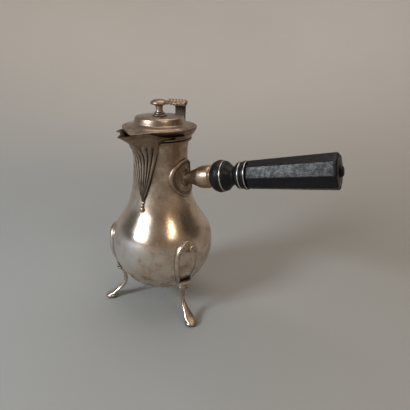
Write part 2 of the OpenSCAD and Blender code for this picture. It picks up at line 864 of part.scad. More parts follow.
// Shell-shaped thumbpiece: distance behind the axis and height above the leaf,
// half width and strength of its ribs, from foot to curled crest
thumb_t = 0.8;
thumb_z = leaf_z + leaf_t + solder_gap;
thumb_foot_y = hinge_y - 0.9;
thumb_path = [
    [0, 0, 5.4, 0], [1.4, thumb_h * 0.2, 5.3, 0], [2.8, thumb_h * 0.42, 5.3, 0],
    [3.4, thumb_h * 0.62, thumb_w * 0.29, 0.1], [2.8, thumb_h * 0.8, thumb_w * 0.38, 0.5],
    [0.6, thumb_h * 0.93, thumb_w * 0.48, 0.9], [-2.4, thumb_h * 0.985, thumb_w * 0.5, 1],
    [-5.4, thumb_h * 0.95, thumb_w * 0.46, 0.8]
];
thumb_ribs = 6;
thumb_columns = thumb_ribs * 5;
module thumbpiece() {
    path = smooth_curve(thumb_path, 4);
    n = len(path);
    points = [
        for (side = [-1, 1])
            for (i = [0:n - 1])
                let (
                    a = path[max(i - 1, 0)],
                    b = path[min(i + 1, n - 1)],
                    run = sqrt(pow(b[0] - a[0], 2) + pow(b[1] - a[1], 2)),
                    ny = (b[1] - a[1]) / run,
                    nz = -(b[0] - a[0]) / run
                )
                for (k = [0:thumb_columns])
                    let (
                        u = 2 * k / thumb_columns - 1,
                        rib = 0.55 * path[i][3] * cos(180 * thumb_ribs * (u + 1) + 180),
                        reach = 1.1 * path[i][3] * (abs(cos(90 * thumb_ribs * (u + 1) + 90)) - u * u * 1.6),
                        off = side * thumb_t + rib,
                        push = i > n - 10 ? reach * (i - n + 10) / 9 : 0
                    )
                    [
                        u * path[i][2],
                        thumb_foot_y + path[i][0] + off * ny - push * nz,
                        thumb_z + path[i][1] + off * nz + push * ny + (i == 0 ? -off * nz : 0)
                    ]
    ];
    color([0.66, 0.62, 0.58])
    polyhedron(points, grid_faces(thumb_columns, n - 1), convexity = 6);
}

body();
rim_moulding();
neck_bead();
spout();
spout_pendant();
shield_left();
shield_right_side();  // shield_right
shield_rear();
leg_left();
leg_right();
leg_rear();
handle_escutcheon();
handle_socket();
handle_grip();
handle_pin();
inlay_bulb();
inlay_collar_inner();
inlay_collar_outer();
hinge_bracket();
hinge_pin();
lid();
lid_bezel();
finial();
finial_nut();
hinge_lid_leaf();
thumbpiece();
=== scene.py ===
"""Looks of the side-handled silver chocolate pot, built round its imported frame.

Metres, in the pot's own frame: the origin is on the table under the belly, +Z is up,
the spout points to -Y, the wooden handle to +X and the lid's hinge is at +Y.
"""

import math

import bmesh
import bpy
import numpy as np
from mathutils import Matrix, Vector, noise


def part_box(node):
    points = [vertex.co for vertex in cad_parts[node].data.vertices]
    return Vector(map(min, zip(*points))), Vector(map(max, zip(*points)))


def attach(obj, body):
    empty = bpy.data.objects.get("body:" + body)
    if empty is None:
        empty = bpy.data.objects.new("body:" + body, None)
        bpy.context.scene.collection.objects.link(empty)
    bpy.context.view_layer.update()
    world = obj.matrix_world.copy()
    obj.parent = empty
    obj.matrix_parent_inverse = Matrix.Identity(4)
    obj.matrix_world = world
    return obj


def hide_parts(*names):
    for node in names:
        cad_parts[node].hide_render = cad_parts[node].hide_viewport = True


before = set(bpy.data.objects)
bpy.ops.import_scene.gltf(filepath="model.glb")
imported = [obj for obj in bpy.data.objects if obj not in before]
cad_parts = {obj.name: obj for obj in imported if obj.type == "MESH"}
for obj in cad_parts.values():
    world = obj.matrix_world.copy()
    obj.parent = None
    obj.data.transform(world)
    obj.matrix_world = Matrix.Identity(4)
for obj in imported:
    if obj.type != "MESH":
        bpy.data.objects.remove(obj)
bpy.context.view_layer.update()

MM = 0.001


def high(node, axis):
    """Highest coordinate of a solid along an axis, in millimetres."""
    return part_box(node)[1][axis] / MM


def low(node, axis):
    """Lowest coordinate of a solid along an axis, in millimetres."""
    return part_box(node)[0][axis] / MM


# Driving sizes in millimetres, read from the boxes of the solids where these give them,
# and angles in radians
X, Y, Z = 0, 1, 2
belly_r = high("body", Y)
base_z = low("body", Z)
rim_z = high("body", Z)
rim_r = high("rim_moulding", Y)
lid_r = high("lid", Y)
drum_r = 21.9
lid_top_z = high("lid", Z)
beak_tip_r = -low("lid", Y)
finial_top_z = high("finial", Z)
foot_r, foot_circle_r = 5.8, 54.5
shield_half_w = high("shield_rear", X)
shield_bottom_z = low("shield_rear", Z)
shield_top_z = high("shield_rear", Z)
belly_z = 66.0
bowl_fullness = 1.85
neck_share, narrow_share = 0.765, 0.745
neck_r = neck_share * rim_r
shoulder_reach = 0.405
shoulder_power = 3.2
narrow_z = belly_z + narrow_share * (rim_z - belly_z)
flare, flare_start_z, neck_top_z = 2.2, narrow_z + 4, rim_z - 7
wall = 1.2
on_axis = 0.0001
handle_z = 128.5
handle_rise = math.radians(11)
camera_turn = math.radians(27.0)


# Meshes

def evenly(start, end, count):
    """Plain numbers spread evenly from start to end."""
    return [start + (end - start) * i / (count - 1) for i in range(count)]


def spline(points, steps):
    """Smooth curve through control points, with this many points between each two."""
    p = [np.array(q, float) for q in points]
    out = []
    for i in range(len(p) - 1):
        a, b, c, d = p[max(i - 1, 0)], p[i], p[i + 1], p[min(i + 2, len(p) - 1)]
        for j in range(steps):
            u = j / steps
            out.append(
                0.5 * (2 * b + (c - a) * u + (2 * a - 5 * b + 4 * c - d) * u * u
                       + (3 * b - a - 3 * c + d) * u ** 3)
            )
    return out + [p[-1]]


def rounded(points, radius=0.25, steps=3):
    """An outline whose corners are eased by a small radius, for turned and cast edges."""
    out = []
    p = [np.array(q, float) for q in points]
    for i, b in enumerate(p):
        if i in (0, len(p) - 1):
            out.append(b)
            continue
        a, c = p[i - 1], p[i + 1]
        back = min(radius, 0.4 * np.linalg.norm(a - b))
        on = min(radius, 0.4 * np.linalg.norm(c - b))
        start = b + (a - b) / np.linalg.norm(a - b) * back
        end = b + (c - b) / np.linalg.norm(c - b) * on
        for j in range(steps + 1):
            t = j / steps
            out.append((1 - t) ** 2 * start + 2 * t * (1 - t) * b + t * t * end)
    return out


def mesh_piece(name, points, faces, smooth_angle=40):
    """A mesh from points in millimetres and faces, smoothed below an angle."""
    mesh = bpy.data.meshes.new(name)
    mesh.from_pydata([tuple(c * MM for c in p) for p in points], [], faces)
    work = bmesh.new()
    work.from_mesh(mesh)
    bmesh.ops.remove_doubles(work, verts=work.verts, dist=0.002 * MM)
    bmesh.ops.recalc_face_normals(work, faces=work.faces)
    work.to_mesh(mesh)
    work.free()
    for polygon in mesh.polygons:
        polygon.use_smooth = True
    mesh.set_sharp_from_angle(angle=math.radians(smooth_angle))
    piece = bpy.data.objects.new(name, mesh)
    bpy.context.scene.collection.objects.link(piece)
    return piece


def grid_faces(rows, columns, wrap):
    """Faces of a grid of points, closed round its columns if wrap is set."""
    faces = []
    for j in range(rows - 1):
        for i in range(columns if wrap else columns - 1):
            k = (i + 1) % columns
            faces.append((j * columns + i, j * columns + k,
                          (j + 1) * columns + k, (j + 1) * columns + i))
    return faces


def turned(name, outline, around=160, place=None, smooth_angle=40, bend=None):
    """A piece of revolution: outline holds (radius, height) from end to end, round +Z."""
    points = []
    for r, z in outline:
        for i in range(around):
            a = 2 * math.pi * i / around
            p = Vector((r * math.cos(a), r * math.sin(a), z))
            p = bend(p) if bend else p
            points.append(place @ p if place else p)
    return mesh_piece(name, points, grid_faces(len(outline), around, True), smooth_angle)


def turned_ring(name, section, around=160, first=0.0, last=2 * math.pi, place=None):
    """A closed section turned round +Z, all the way or from one bearing to another."""
    whole = last - first > 2 * math.pi - 1e-6
    columns = around if whole else around + 1
    points = []
    for r, z in section + section[:1]:
        for i in range(columns):
            a = first + (last - first) * i / around
            p = Vector((r * math.cos(a), r * math.sin(a), z))
            points.append(place @ p if place else p)
    rows = len(section)
    faces = grid_faces(rows + 1, columns, whole)
    if not whole:
        faces.append(tuple(j * columns for j in range(rows)))
        faces.append(tuple(j * columns + columns - 1 for j in range(rows)))
    return mesh_piece(name, points, faces)


def two_sided(name, front, back, smooth_angle=50):
    """A closed skin between two grids of points of the same size."""
    rows, columns = len(front), len(front[0])
    points = [p for row in front for p in row] + [p for row in back for p in row]
    skin = rows * columns
    faces = grid_faces(rows, columns, False)
    faces += [tuple(skin + k for k in reversed(f)) for f in faces]
    for i in range(columns - 1):
        for k in (0, (rows - 1) * columns):
            faces.append((k + i, k + i + 1, skin + k + i + 1, skin + k + i))
    for j in range(rows - 1):
        for k in (0, columns - 1):
            a, b = j * columns + k, (j + 1) * columns + k
            faces.append((a, b, skin + b, skin + a))
    return mesh_piece(name, points, faces, smooth_angle)


def paint_inside_shade(piece, lowest):
    """Paints shade on the skin above a height that faces the pot's axis: it gets the near-black
    finish of the inside, which is painted shade.
    """
    piece.data.materials.append(finishes["inside"])
    for polygon in piece.data.polygons:
        out = Vector((polygon.center.x, polygon.center.y, 0)).normalized()
        facing_out = polygon.normal.dot(out) - 0.5 * polygon.normal.z
        if facing_out < -0.05 and polygon.center.z > lowest * MM:
            polygon.material_index = 1


def cut(piece, cutter):
    """Takes the cutter's shape out of a piece."""
    step = piece.modifiers.new("cut", "BOOLEAN")
    step.operation = "DIFFERENCE"
    step.solver = "EXACT"
    step.object = cutter
    bpy.context.view_layer.update()
    seen = piece.evaluated_get(bpy.context.evaluated_depsgraph_get())
    mesh = bpy.data.meshes.new_from_object(seen)
    piece.modifiers.clear()
    piece.data = mesh
    bpy.data.objects.remove(cutter)
    for polygon in mesh.polygons:
        polygon.use_smooth = True
    mesh.set_sharp_from_angle(angle=math.radians(40))


# Outline of the raised body

def neck_flare(z):
    """How far the neck widens again above its narrowest place."""
    return flare * (max(0, z - flare_start_z) / (neck_top_z - flare_start_z)) ** 2


def body_outer(z):
    """Radius of the body's outer skin at a height."""
    if z < belly_z:
        return belly_r * math.sqrt(1 - ((belly_z - z) / (belly_z - base_z)) ** bowl_fullness)
    z = min(z, neck_top_z)
    share = 1 / (1 + ((z - belly_z) / (narrow_z - belly_z) / shoulder_reach) ** shoulder_power)
    return neck_r + (belly_r - neck_r) * share + neck_flare(z)


neck_tube_r = body_outer(rim_z)


def body_side(inset, bowl_steps=70, neck_steps=110):
    """Outline of the body's skin, from the bottom of the bowl to the rim."""
    side = []
    for i in range(bowl_steps):
        a = 0.5 * math.pi * i / bowl_steps
        drop = (belly_z - base_z - inset) * math.cos(a) ** (2 / bowl_fullness)
        side.append((max((belly_r - inset) * math.sin(a), on_axis), belly_z - drop))
    for i in range(neck_steps + 1):
        z = belly_z + (neck_top_z - belly_z) * i / neck_steps
        side.append((body_outer(z) - inset, z))
    return side + [(neck_tube_r - inset, rim_z - 3.5), (neck_tube_r - inset, rim_z)]


# Hammering: waves per millimetre, their height and a shift between the two patterns
hammer_waves = ((0.045, 0.2, 0), (0.13, 0.07, 7))
hammer_sink, hammer_top_z, hammer_fade = 0.2, rim_z - 12, 20


def hammered(p):
    """The slight waviness that raising and old knocks leave in thin sheet silver."""
    r = math.hypot(p.x, p.y)
    if r < 1:
        return p
    wave = sum(noise.noise(p * scale + Vector((shift, 0, 0))) * height
               for scale, height, shift in hammer_waves)
    wave *= min(1, max(0, (hammer_top_z - p.z) / hammer_fade))
    k = (r + wave - hammer_sink) / r
    return Vector((p.x * k, p.y * k, p.z))


def make_body():
    """The raised body in one skin, with an arched opening cut through it behind the spout."""
    outside = body_side(0)
    inside = list(reversed(body_side(wall)))
    body = turned("pot_body", outside + inside, 256, bend=hammered)
    mouth_half_w, mouth_z, above_z = 11, 150, rim_z + 5
    points = []
    arch = [(-mouth_half_w, above_z), (mouth_half_w, above_z)]
    arch += [(mouth_half_w * math.cos(a), mouth_z + mouth_half_w - mouth_half_w * math.sin(a))
             for a in evenly(0, math.pi, 25)]
    for y in (-2 * neck_tube_r, -0.5 * neck_tube_r):
        points += [(x, y, z) for x, z in arch]
    n = len(arch)
    faces = [tuple(range(n)), tuple(range(2 * n - 1, n - 1, -1))]
    faces += [(i, n + i, n + (i + 1) % n, (i + 1) % n) for i in range(n)]
    cut(body, mesh_piece("mouth_cutter", points, faces))
    return body


# Rim: each moulding leaves an opening of its own half-angle at the spout

lip_half_angle = 78.0
edge_gap, cove_gap, bead_gap = 60, 41, 34


def rim_part(name, section, gap):
    """A moulding round the rim that leaves an opening at the spout."""
    return turned_ring(name, section, 220, math.radians(gap - 90), math.radians(270 - gap))


def make_rim():
    """The rim's edge stops where the lip widens; the cove below it runs on to the funnel."""
    r0 = neck_tube_r + 0.02
    edge = rounded([
        (r0, rim_z - 3.4), (r0 + 2.5, rim_z - 3.4), (rim_r - 1.3, rim_z - 2.5),
        (rim_r - 0.3, rim_z - 1.9), (rim_r, rim_z - 1.2), (rim_r - 0.2, rim_z - 0.4),
        (rim_r - 0.9, rim_z), (r0, rim_z)
    ], 0.35)
    cove = rounded([
        (r0, rim_z - 5.6), (r0 + 1.0, rim_z - 5.4), (r0 + 1.7, rim_z - 4.8),
        (r0 + 1.6, rim_z - 4.1), (r0 + 2.4, rim_z - 3.4), (r0, rim_z - 3.3)
    ], 0.25)
    return joined("pot_rim", [rim_part("edge", edge, edge_gap), rim_part("cove", cove, cove_gap)])


def make_neck_bead():
    """Half-round wire under the rim."""
    r0 = neck_tube_r + 0.03
    section = [(r0, rim_z - 7.5)]
    section += [(r0 + 1.0 + 1.0 * math.cos(a), rim_z - 6.6 + 0.9 * math.sin(a))
                for a in evenly(-1.9, 1.9, 14)]
    section += [(r0, rim_z - 5.7)]
    return rim_part("pot_neck_bead", section, bead_gap)


# Spout: a fluted apron that opens into a wide, pointed lip

lip_overhang, beak_reach, lip_rise, lip_wall = 5.2, 19.0, 3.0, 1.4
beak_spread, beak_blunt = 9.3, 1.2
apron_z, flute_top_z, apron_half_angle, apron_t = 116.0, 163.0, 31.0, 1.3
flutes, flute_depth, flute_round = 7, 2.0, 0.92
flute_head, flute_fade = 2.4, 2.6
lip_top_z = rim_z - 0.4
lip_swell, swell_bearing, swell_w = 1.6, 21, 11
edge_roll, edge_roll_h = 0.5, 1.2
funnel_drop, funnel_side_power, funnel_least_h = 17, 0.4, 0.6
funnel_power, funnel_front_power = 1.5, 1.4
lip_rise_spread, funnel_spread = 1100, 260


def spout_half_angle(z):
    """Half the width of the spout, in degrees round the neck, at a height."""
    if z < flute_top_z:
        return apron_half_angle * max(0.03, (z - apron_z) / (flute_top_z - apron_z)) ** 0.85
    share = (z - flute_top_z) / (lip_top_z - flute_top_z)
    return apron_half_angle + (lip_half_angle - apron_half_angle) * share ** 2.5


def lip_edge(a):
    """Distance of the lip's edge from the pot's axis at a bearing from the spout."""
    side = lip_overhang * (1 - min(1, abs(a) / lip_half_angle) ** 4)
    point = beak_reach * math.exp((beak_blunt - math.hypot(a, beak_blunt)) / beak_spread)
    return lid_r - 0.4 + side + point


def lean_z(a):
    """Height where the spout's skin starts to lean away from the neck."""
    if abs(a) < apron_half_angle:
        return flute_top_z - funnel_drop * math.cos(0.5 * math.pi * a / apron_half_angle)
    share = (abs(a) - apron_half_angle) / (lip_half_angle - apron_half_angle)
    return flute_top_z + (lip_top_z - flute_top_z) * share ** funnel_side_power


def lean_share(a, z):
    """How far the skin has leant out, from 0 at the neck to 1 at the lip's edge."""
    room = max(funnel_least_h, lip_top_z - lean_z(a))
    power = funnel_power + funnel_front_power * math.exp(-a * a / funnel_spread)
    return min(1, max(0, (z - lean_z(a)) / room)) ** power


def flute_swell(u, z):
    """Height of the rounded flutes, which end in round heads and narrow to the point."""
    place = (u + 1) * flutes / 2
    across = 2 * abs(place - math.floor(place) - 0.5)
    head = flute_head * (1 - across * across)
    fade = min(1, max(0, (flute_top_z - z + head) / flute_fade))
    lobe = math.sqrt(max(0, 1 - flute_round * across * across))
    return flute_depth * lobe * fade * min(1, (z - apron_z + 6) / 12)


def spout_point(u, z, inner):
    """A point of the spout's outer or inner skin, with u from -1 to 1 across it."""
    a = u * spout_half_angle(z)
    base = body_outer(z) + apron_t
    swell = flute_swell(u, z)
    lean = lean_share(a, z)
    roll = edge_roll * min(1, max(0, (z - lip_top_z + edge_roll_h) / 0.5)) * lean
    r = base + swell + (lip_edge(a) - base) * lean + roll
    if inner:
        r = max(body_outer(z) + 0.02, r - lip_wall - swell - roll)
    share = max(0, z - flute_top_z) / (lip_top_z - flute_top_z)
    lift = lip_rise * math.exp(-a * a / lip_rise_spread)
    lift += lip_swell * math.exp(-((abs(a) - swell_bearing) / swell_w) ** 2)
    lift *= share ** 2
    a = math.radians(a)
    return (r * math.sin(a), -r * math.cos(a), z + lift)


def make_spout():
    heights = evenly(apron_z, flute_top_z, 90) + evenly(flute_top_z, lip_top_z, 60)[1:]
    across = evenly(-1, 1, flutes * 18 + 1)
    grids = [[[spout_point(u, z, inner) for u in across] for z in heights]
             for inner in (False, True)]
    return two_sided("pot_spout", *grids)


def make_pendant():
    """Two beads and a drop below the apron's point."""
    pieces = []
    width = 0.97
    for drop, r, length in ((-1.9, 1.35, width), (-4.3, 1.2, width), (-7.6, 2.1, 1.2)):
        z = apron_z + drop
        y = -body_outer(z) - 0.3 * r
        outline = [(max(r * math.sin(a), on_axis) * width, -r * math.cos(a) * length)
                   for a in evenly(0, math.pi, 22)]
        pieces.append(turned(f"bead_{len(pieces)}", outline, 32, Matrix.Translation((0, y, z))))
    return joined("pot_pendant", pieces)


def joined(name, pieces):
    """Several meshes as one piece."""
    work = bmesh.new()
    for piece in pieces:
        work.from_mesh(piece.data)
    mesh = bpy.data.meshes.new(name)
    work.to_mesh(mesh)
    work.free()
    for piece in pieces:
        bpy.data.objects.remove(piece)
    mesh.set_sharp_from_angle(angle=math.radians(40))
    whole = bpy.data.objects.new(name, mesh)
    bpy.context.scene.collection.objects.link(whole)
    return whole


# Shields and legs, drawn facing -Y and then turned to their places

shield_t, shield_panel_t, shield_edge_t, shield_rim_w = 2.8, 1.2, 0.9, 3.4
shield_h = shield_top_z - shield_bottom_z
shell_lobes, shell_r, shell_drop, shell_h, shell_edge = 7, 8.4, 9.0, 0.7, 1.4
shield_sink = 0.3
shield_edge = [
    (0.50, 0), (0.57, 0.08), (0.71, 0.20), (0.90, 0.36), (1.00, 0.52),
    (0.98, 0.65), (0.88, 0.78), (0.70, 0.88), (0.48, 0.95), (0.24, 1)
]
shield_curve = np.array(spline(shield_edge, 12))


def shield_width(v):
    """Half the shield's width at a share of its height."""
    return shield_half_w * float(np.interp(v, shield_curve[:, 1], shield_curve[:, 0]))


def frame_swell(d):
    """Rounded frame of the shield, by the distance from its edge."""
    return math.sin(math.pi * d / shield_rim_w) ** 0.8 if 0 < d < shield_rim_w else 0


def shield_thick(u, v):
    """Thickness of the shield: a flat panel, a rounded frame and a shell at the top."""
    half = shield_width(v)
    x = abs(u) * half
    edge = min((half - x) * 0.94, v * shield_h + 0.4, (1 - v) * shield_h + 0.9)
    up = shell_drop - (1 - v) * shield_h
    shell = math.hypot(x, up)
    lobe = abs(math.cos(shell_lobes * math.atan2(x, max(up, 0.1))))
    on_shell = up > -1 and shell < shell_r
    fan = min(1, (shell_r - shell) / shell_edge) * min(1, up + 1) if on_shell else 0
    thick = shield_edge_t + (shield_panel_t - shield_edge_t) * min(1, edge / 2)
    thick += (shield_t - shield_panel_t) * frame_swell(edge)
    return thick + (shell_h + shell_h * lobe) * (1 - 0.7 * frame_swell(edge)) * fan


def shield_point(u, v, front):
    z = shield_bottom_z + v * shield_h
    x = u * shield_width(v)
    r = body_outer(z) + (shield_thick(u, v) if front else -shield_sink)
    return (x, -math.sqrt(r * r - x * x), z)


def facing(angle):
    """Turn that carries a piece drawn facing -Y to a bearing counted from +X."""
    return Matrix.Rotation(math.radians(angle + 90), 3, "Z")


def make_shield(side, angle):
    turn = facing(angle)
    grids = [[[turn @ Vector(shield_point(u, v, front)) for u in evenly(-1, 1, 81)]
              for v in evenly(0, 1, 110)] for front in (True, False)]
    return two_sided(f"pot_shield_{side}", *grids)


# Middle of the leg as distance from the pot's axis and height, then half its width and depth
leg_path = [
    (belly_r - 3.4, shield_bottom_z + 4.6, 5.8, 1.8),
    (belly_r - 4.1, shield_bottom_z + 1.5, 5.5, 2.4),
    (belly_r - 6.2, shield_bottom_z - 2.8, 3.5, 2.4),
    (belly_r - 7.8, shield_bottom_z - 7.6, 2.1, 2.1),
    (belly_r - 8.8, shield_bottom_z - 12.5, 1.7, 2.0),
    (belly_r - 9, shield_bottom_z - 17.2, 1.8, 2.0),
    (belly_r - 7.6, shield_bottom_z - 21.6, 2.2, 2.1),
    (belly_r - 4.4, shield_bottom_z - 25.7, 3.0, 2.2),
    (belly_r, 8.6, 4.0, 2.3),
    (foot_circle_r - 2.6, 5.4, 5.0, 2.3),
    (foot_circle_r + 2.4, 3.5, 4.2, 1.8)
]


cord_r, cord_gap, cord_lean = 0.75, 0.15, 0.5
cords = ((0.4, 14), (0.4, -14), (-2.6, 0))


def leg_band(name, turn, drop, tilt):
    """A thin cast cord round the leg's head, tilted so that two of them cross."""
    z0 = shield_bottom_z + drop
    (high_r, high_z, high_w, half_t), (low_r, low_z, low_w, _) = leg_path[1:3]
    share = (z0 - low_z) / (high_z - low_z)
    half_w, r0 = low_w + (high_w - low_w) * share, low_r + (high_r - low_r) * share
    points = []
    sides, around = 10, 64
    for k in range(sides + 1):
        b = 2 * math.pi * k / sides
        for i in range(around):
            q = 2 * math.pi * i / around
            swell = cord_gap + cord_r * math.cos(b)
            x, out = (half_w + swell) * math.cos(q), (half_t + swell) * math.sin(q)
            up = cord_r * math.sin(b) + x * math.tan(math.radians(tilt)) + cord_lean * out
            points.append(turn @ Vector((x, -(r0 - out), z0 + up)))
    return mesh_piece(name, points, grid_faces(sides + 1, around, True))


def make_leg(side, angle):
    """A cast leg: its stem, the pad it stands on and the cords round its head."""
    turn = facing(angle)
    path = spline(leg_path, 10)
    sides = 40
    points = []
    for i, (r, z, half_w, half_t) in enumerate(path):
        a, b = path[max(i - 1, 0)], path[min(i + 1, len(path) - 1)]
        slope = math.atan2(b[1] - a[1], b[0] - a[0])
        for k in range(sides):
            q = 2 * math.pi * k / sides
            out = half_t * math.sin(q)
            p = (half_w * math.cos(q), -(r - out * math.sin(slope)), z + out * math.cos(slope))
            points.append(turn @ Vector(p))
    faces = grid_faces(len(path), sides, True)
    faces.append(tuple(range(sides)))
    faces.append(tuple((len(path) - 1) * sides + k for k in range(sides)))
    stem = mesh_piece(f"stem_{side}", points, faces)
    pad_outline = rounded([
        (on_axis, 0), (foot_r - 1.5, 0), (foot_r - 0.4, 1.1), (foot_r, 2.4),
        (foot_r - 0.6, 3.7), (foot_r - 2.4, 4.9), (on_axis, 5.4)
    ], 0.9, 5)
    place = turn.to_4x4() @ Matrix.Translation((0, -foot_circle_r, 0))
    pad = turned(f"pad_{side}", pad_outline, 64, place)
    bands = [leg_band(f"band_{side}_{k}", turn, drop, tilt)
             for k, (drop, tilt) in enumerate(cords)]
    return joined(f"pot_leg_{side}", [stem, pad] + bands)


# Handle: distances are counted along its own axis from the pot's axis

handle_place = (Matrix.Translation((0, 0, handle_z))
                @ Matrix.Rotation(0.5 * math.pi - handle_rise, 4, "Y"))
root_s = body_outer(handle_z + 6) / math.cos(handle_rise) + 1.2
socket_end = root_s + 28.5
socket_r, socket_root_r = 10.0, 5.1
bulb_r, collar_r, waist_r = 13.8, 12.0, 7.8
bulb_s, neck_s, collar_s = socket_end + 6.5, socket_end + 18.7, socket_end + 29.7
grip_s = collar_s + 2.6
grip_root_r, grip_end_r = 12.0, 14.4
nub_h, nub_r = 2.6, 4.2
handle_end = 158.5

plate_r = 16.8
plate_z = handle_z + body_outer(handle_z) * math.tan(handle_rise)
plate_profile = spline([
    (socket_root_r - 0.6, 2.2), (socket_root_r + 0.2, 1.6), (socket_root_r + 0.8, 0.8),
    (6.7, 0.6), (7.2, 0.95), (7.7, 0.95), (8.2, 0.55), (10.4, 0.5), (11.2, 0.6), (11.6, 1.2),
    (12.1, 1.35), (12.6, 1.1), (12.9, 0.5), (13.9, 0.35), (14.7, 0.45), (15.0, 1.4), (15.5, 1.9),
    (16.1, 1.85), (16.6, 1.2), (plate_r, 0.5), (plate_r, -0.3)
], 4)


def make_escutcheon():
    """Round plate curved to the neck: a bead, a finer ring and a flat round the socket's root."""
    around = 144
    points = []
    for r, t in plate_profile:
        for i in range(around):
            q = 2 * math.pi * i / around
            y, z = r * math.cos(q), plate_z + r * math.sin(q)
            out = body_outer(z) + t
            points.append((math.sqrt(out * out - y * y), y, z))
    return mesh_piece("pot_escutcheon", points, grid_faces(len(plate_profile), around, True))


def make_socket():
    """Flared silver socket that holds the wooden handle."""
    outline = [(socket_root_r, root_s - 3)]
    outline += spline([
        (socket_root_r, root_s + 0.4), (socket_root_r + 0.2, root_s + 3.2), (6.8, root_s + 9),
        (socket_r - 0.7, root_s + 15), (socket_r - 0.1, root_s + 18.4), (socket_r, root_s + 22),
        (socket_r - 0.3, socket_end - 3.4), (socket_r - 0.8, socket_end - 2)
    ], 7)
    outline += rounded([
        (socket_r - 0.5, socket_end - 1.6), (socket_r - 0.2, socket_end - 1),
        (socket_r - 0.5, socket_end - 0.3), (socket_r - 0.8, socket_end), (8.2, socket_end)
    ], 0.3)
    return turned("pot_socket", outline, 128, handle_place)


inlay_places = [bulb_s + 4, collar_s - 3.9, collar_s + 1.5]
inlay_radii = [bulb_r - 0.8, collar_r - 0.75, collar_r - 0.15]
inlay_half = 0.45


def make_turned_wood():
    """The handle's bulb, waist and collar, turned in one with the grip."""
    outline = [(7.8, socket_end + 0.03)]
    outline += spline([
        (8.6, socket_end + 0.03), (11.4, socket_end + 1), (bulb_r - 0.9, socket_end + 3.2),
        (bulb_r, bulb_s), (bulb_r - 0.4, bulb_s + 2.6), (bulb_r - 0.9, bulb_s + 4.4),
        (bulb_r - 1.6, bulb_s + 6.4), (bulb_r - 3.4, bulb_s + 8.4), (waist_r + 1, neck_s - 1.8),
        (waist_r, neck_s), (waist_r + 0.2, neck_s + 1.5), (collar_r - 1.5, collar_s - 7),
        (collar_r - 0.7, collar_s - 5.2), (collar_r - 0.8, collar_s - 3.6),
        (collar_r - 1.4, collar_s - 2.3), (collar_r - 0.3, collar_s - 1),
        (collar_r, collar_s + 0.2), (collar_r - 0.2, collar_s + 1.8), (collar_r - 1.4, grip_s)
    ], 8)
    outline.append((grip_root_r - 2.5, grip_s))
    return turned("handle_turned", outline, 128, handle_place, 60)


def octagon(radius, ease, steps=4):
    """Eight flats with eased corners, one corner up."""
    points = []
    corners = [Vector((radius * math.cos(a), radius * math.sin(a)))
               for a in (math.radians(45 * k) for k in range(8))]
    for k in range(8):
        b, a, c = corners[k], corners[k - 1], corners[(k + 1) % 8]
        start = b + (a - b).normalized() * ease
        end = b + (c - b).normalized() * ease
        points += [(1 - t) ** 2 * start + 2 * t * (1 - t) * b + t * t * end
                   for t in evenly(0, 1, steps + 1)]
    return points


def make_grip():
    """The whole wooden handle: turned part, eight tapering flats and the nub at the end."""
    edge, flats_s = 1.8, grip_s + 1.4
    stations = [(grip_s - 0.4, grip_root_r - 2.0, 0.8), (grip_s + 0.5, grip_root_r - 1.1, 0.8),
                (flats_s, grip_root_r, 0.6)]
    stations += [(flats_s + (handle_end - edge - flats_s) * t,
                  grip_root_r + (grip_end_r - grip_root_r) * t, 0.55) for t in evenly(0.03, 1, 40)]
    stations += [(handle_end - edge + 1.75 * math.sin(a), grip_end_r - 2.6 * (1 - math.cos(a)), 0.8)
                 for a in evenly(0.2, 1.5, 7)]
    points = []
    for s, r, ease in stations:
        points += [handle_place @ Vector((p.x, p.y, s)) for p in octagon(r, ease)]
    columns = len(octagon(1, 0.1))
    faces = grid_faces(len(stations), columns, True)
    faces.append(tuple(range(columns)))
    faces.append(tuple((len(stations) - 1) * columns + k for k in range(columns)))
    flats = mesh_piece("handle_flats", points, faces, 60)
    nub = turned("handle_nub", rounded([
        (nub_r, handle_end - 0.6), (nub_r, handle_end + nub_h - 1.4),
        (nub_r - 0.6, handle_end + nub_h - 0.5), (nub_r - 1.8, handle_end + nub_h - 0.1),
        (on_axis, handle_end + nub_h)
    ], 0.5, 4), 64, handle_place)
    return joined("handle_wood", [make_turned_wood(), flats, nub])


def make_inlay(name, place, radius):
    """A silver line let into the wood, a hair proud of it."""
    section = rounded([
        (radius - 0.6, place - inlay_half), (radius + 0.02, place - inlay_half + 0.02),
        (radius + 0.12, place), (radius + 0.02, place + inlay_half - 0.02),
        (radius - 0.6, place + inlay_half)
    ], 0.15)
    return turned_ring(name, section, 128, place=handle_place)


# Lid with its flat beak, in one skin

bezel_r = neck_tube_r - wall - 0.6
flange_h = 4.7
beak_blend_w, beak_blend_from, beak_thin_over = 2, 3.4, 6
beak_floor_z, beak_top_z = rim_z + 0.7, rim_z + 2.8


def lid_plan(a):
    """Plan of the lid's edge at a bearing from the spout: a circle with a pointed beak."""
    tangent = math.acos(lid_r / beak_tip_r)
    if abs(a) > tangent:
        return lid_r
    return min(lid_r / math.cos(tangent - abs(a)), beak_tip_r - 0.25)


